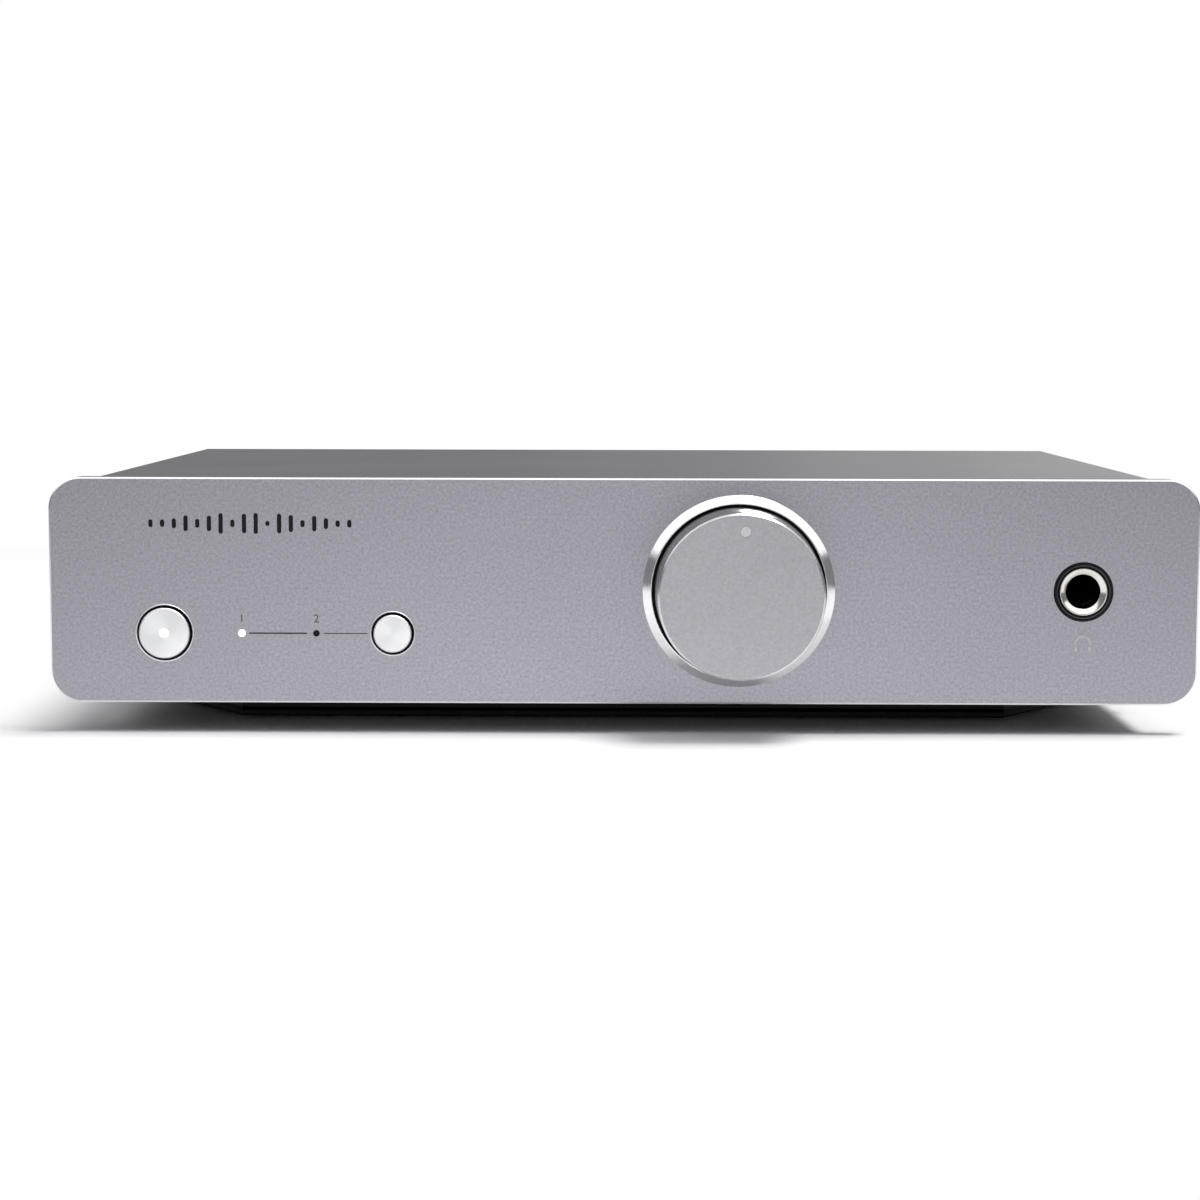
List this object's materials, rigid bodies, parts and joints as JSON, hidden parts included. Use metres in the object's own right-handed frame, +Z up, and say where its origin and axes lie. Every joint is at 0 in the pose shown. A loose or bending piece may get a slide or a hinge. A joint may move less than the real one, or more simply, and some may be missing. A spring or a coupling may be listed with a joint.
{
  "type": "headphone amplifier",
  "caption": "Low half-width hi-fi box: phono preamplifier with a headphone output, turned volume knob, push buttons, headphone socket, and rear phono sockets and mains inlet.",
  "frame": {"origin": "middle of the footprint, on the surface that the feet stand on", "axes": "+X to the right seen from the front, +Y from the front panel to the rear, +Z up"},
  "size_m": [0.215, 0.1574, 0.048],
  "materials": {
    "satin_aluminium": "bead-blasted and anodised, satin, with polished edges",
    "polished_aluminium": "turned and polished",
    "spun_aluminium": "spun on the face, bright",
    "cover_paint": "fine satin silver-grey coat",
    "black_steel": "fine-textured black powder coat",
    "black_plastic": "moulded, satin black",
    "foot_rubber": "soft black rubber",
    "nickel": "nickel plated",
    "steel": "zinc-plated steel",
    "contact_brass": "spring brass",
    "circuit_board": "green solder mask over glass epoxy",
    "lamp_lit": "clear light pipe, lit white",
    "lamp_dark": "clear light pipe, unlit",
    "pointer_white": "pale filled dimple",
    "insert_white": "white insulating insert",
    "insert_red": "red insulating insert",
    "ferrite": "ferrite core with a taped winding"
  },
  "bodies": {
    "chassis": {"front_panel": "satin_aluminium", "knob_ring": "polished_aluminium", "top_cover": "cover_paint", "base_tray": "black_steel", "plinth": "black_plastic", "power_button_guide": "black_plastic", "power_switch": "black_plastic", "select_button_guide": "black_plastic", "select_switch": "black_plastic", "headphone_jack_bezel": "black_plastic", "headphone_jack_body": "black_plastic", "input_socket_block": "black_plastic", "output_socket_block": "black_plastic", "mains_inlet": "black_plastic", "board_connector": "black_plastic", "foot_pad_1": "foot_rubber", "foot_pad_2": "foot_rubber", "foot_pad_3": "foot_rubber", "foot_pad_4": "foot_rubber", "headphone_jack_ferrule": "nickel", "volume_pot_nut": "nickel", "ground_post": "nickel", "mains_pin_live": "nickel", "mains_pin_neutral": "nickel", "input_a_left_shell": "nickel", "input_a_right_shell": "nickel", "input_b_left_shell": "nickel", "input_b_right_shell": "nickel", "output_left_shell": "nickel", "output_right_shell": "nickel", "volume_pot_body": "steel", "balance_pot": "steel", "cover_screw_1": "steel", "cover_screw_2": "steel", "cover_screw_3": "steel", "cover_screw_4": "steel", "headphone_jack_contact": "contact_brass", "front_board": "circuit_board", "main_board": "circuit_board", "indicator_light_1": "lamp_lit", "indicator_light_2": "lamp_dark", "input_a_left_insulator": "insert_white", "input_b_left_insulator": "insert_white", "output_left_insulator": "insert_white", "input_a_right_insulator": "insert_red", "input_b_right_insulator": "insert_red", "output_right_insulator": "insert_red", "power_transformer": "ferrite"},
    "volume_knob": {"knob_cap": "satin_aluminium", "knob_hub": "black_plastic", "knob_pointer": "pointer_white", "volume_pot_shaft": "steel"},
    "power_button": {"power_button_cap": "spun_aluminium", "power_button_stem": "black_plastic", "power_light": "lamp_lit"},
    "select_button": {"select_button_cap": "spun_aluminium", "select_button_stem": "black_plastic"},
    "ground_clamp": {"ground_washer": "nickel"},
    "ground_screw": {"ground_thumb_screw": "nickel"},
    "balance_dial": {"balance_knob": "black_plastic"}
  },
  "joints": [
    {"name": "volume_turn", "type": "hinge", "parent": "chassis", "child": "volume_knob", "pos_m": [0.0216, -0.06555, 0.027], "axis": [0, 1, 0], "range_deg": [-153, 147]},
    {"name": "power_press", "type": "slide", "parent": "chassis", "child": "power_button", "axis": [0, 1, 0], "range_m": [0, 0.0005], "stiffness_N_per_m": 3000},
    {"name": "select_press", "type": "slide", "parent": "chassis", "child": "select_button", "axis": [0, 1, 0], "range_m": [0, 0.0005], "stiffness_N_per_m": 3000},
    {"name": "ground_screw_travel", "type": "slide", "parent": "chassis", "child": "ground_clamp", "axis": [0, 1, 0], "range_m": [0, 0.0028]},
    {"name": "ground_screw_turn", "type": "hinge", "parent": "ground_clamp", "child": "ground_screw", "pos_m": [0.084, 0.06995, 0.026], "axis": [0, 1, 0], "range_deg": [0, 1440]},
    {"name": "balance_turn", "type": "hinge", "parent": "chassis", "child": "balance_dial", "pos_m": [0.014, 0.06995, 0.026], "axis": [0, 1, 0], "range_deg": [-140, 140]}
  ],
  "couplings": [
    {"joint": "ground_screw_turn", "follows": "ground_screw_travel", "rad_per_m": 8976}
  ]
}
